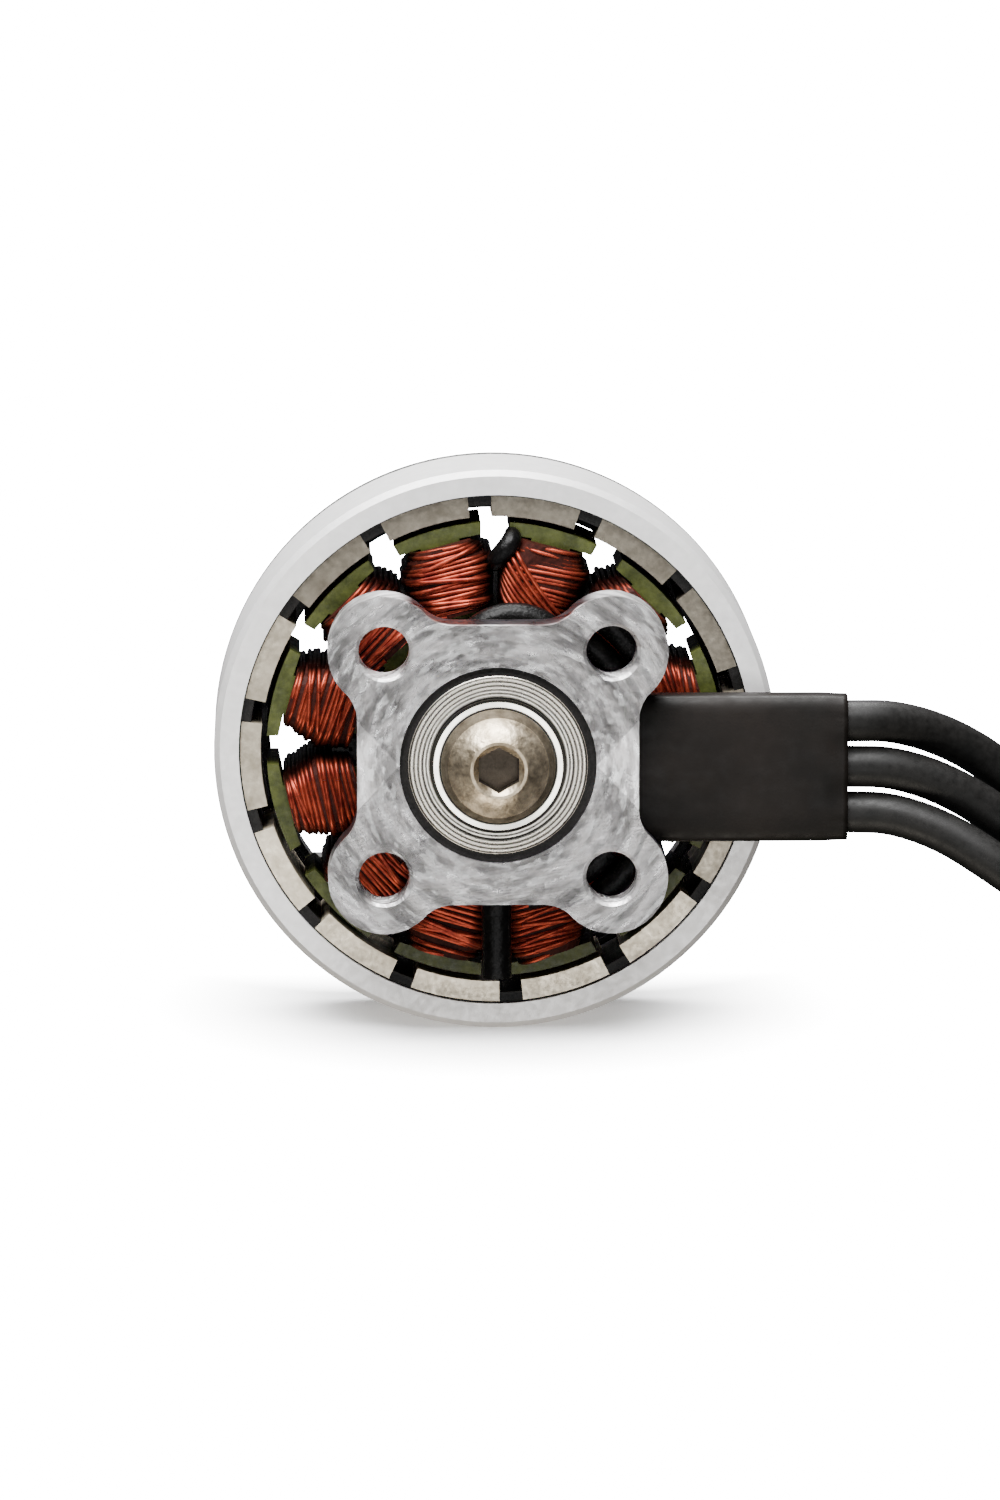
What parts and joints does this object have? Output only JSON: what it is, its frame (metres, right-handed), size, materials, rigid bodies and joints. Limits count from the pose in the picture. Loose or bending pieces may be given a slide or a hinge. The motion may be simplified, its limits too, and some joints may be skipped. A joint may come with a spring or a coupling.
{
  "type": "brushless outrunner motor",
  "caption": "Brushless drone motor: a spoked outer bell with magnets turns round a wound stator on a cross-shaped mount with flat leads.",
  "frame": {"origin": "centre of the four-hole mounting pattern, on the mounting face, on the shaft axis", "axes": "+Z along the shaft towards the propeller end; +X towards the leads"},
  "size_m": [0.0738, 0.0282, 0.0314],
  "materials": {
    "machined_aluminium": "machined, lightly brushed",
    "green_coating": "olive green epoxy coating on steel laminations",
    "copper_wire": "enamelled copper wire",
    "nickel_magnet": "nickel-plated magnet",
    "black_adhesive": "cured black adhesive",
    "plated_ring": "satin plated steel",
    "anodised_cap": "satin machined aluminium",
    "ground_steel": "ground steel",
    "screw_steel": "nickel-plated, slightly warm",
    "bright_steel": "bright turned steel",
    "bearing_steel": "ground bearing steel",
    "bearing_cage": "pressed ribbon cage",
    "shield_steel": "pressed steel shield",
    "shrink_sleeve": "dark brown-black heat-shrink",
    "phase_insulation": "black sleeving, slight gloss",
    "silicone_lead": "black silicone insulation",
    "tinned_copper": "tinned strands",
    "tie_nylon": "black nylon"
  },
  "bodies": {
    "stator": {"base_mount": "machined_aluminium", "stator_core": "green_coating", "coil_01": "copper_wire", "coil_02": "copper_wire", "coil_03": "copper_wire", "coil_04": "copper_wire", "coil_05": "copper_wire", "coil_06": "copper_wire", "coil_07": "copper_wire", "coil_08": "copper_wire", "coil_09": "copper_wire", "coil_10": "copper_wire", "coil_11": "copper_wire", "coil_12": "copper_wire", "lower_bearing_outer_ring": "bearing_steel", "lower_bearing_shields": "shield_steel", "upper_bearing_outer_ring": "bearing_steel", "upper_bearing_shields": "shield_steel", "lead_sleeve": "shrink_sleeve", "phase_lead_upper": "phase_insulation", "phase_lead_lower": "phase_insulation", "star_point_sleeve": "phase_insulation", "lead_1_run": "silicone_lead", "lead_2_run": "silicone_lead", "lead_3_run": "silicone_lead", "lead_1_coil": "silicone_lead", "lead_2_coil": "silicone_lead", "lead_3_coil": "silicone_lead", "lead_tips": "tinned_copper", "coil_tie": "tie_nylon"},
    "rotor": {"magnet_01": "nickel_magnet", "magnet_02": "nickel_magnet", "magnet_03": "nickel_magnet", "magnet_04": "nickel_magnet", "magnet_05": "nickel_magnet", "magnet_06": "nickel_magnet", "magnet_07": "nickel_magnet", "magnet_08": "nickel_magnet", "magnet_09": "nickel_magnet", "magnet_10": "nickel_magnet", "magnet_11": "nickel_magnet", "magnet_12": "nickel_magnet", "magnet_13": "nickel_magnet", "magnet_14": "nickel_magnet", "magnet_adhesive": "black_adhesive", "flux_ring": "plated_ring", "bell_cap": "anodised_cap", "shaft": "ground_steel", "retaining_screw": "screw_steel", "retaining_washer": "bright_steel", "lower_bearing_inner_ring": "bearing_steel", "upper_bearing_inner_ring": "bearing_steel"},
    "lower_ball_set": {"lower_bearing_cage": "bearing_cage", "lower_bearing_balls": "bright_steel"},
    "upper_ball_set": {"upper_bearing_cage": "bearing_cage", "upper_bearing_balls": "bright_steel"}
  },
  "joints": [
    {"name": "rotor_spin", "type": "hinge", "parent": "stator", "child": "rotor", "pos_m": [0, 0, 0.009], "axis": [0, 0, 1], "continuous": true},
    {"name": "lower_balls_roll", "type": "hinge", "parent": "stator", "child": "lower_ball_set", "pos_m": [0, 0, 0.0021], "axis": [0, 0, 1], "continuous": true},
    {"name": "upper_balls_roll", "type": "hinge", "parent": "stator", "child": "upper_ball_set", "pos_m": [0, 0, 0.0115], "axis": [0, 0, 1], "continuous": true}
  ],
  "couplings": [
    {"joint": "lower_balls_roll", "follows": "rotor_spin", "ratio": 0.3846},
    {"joint": "upper_balls_roll", "follows": "rotor_spin", "ratio": 0.3846}
  ]
}
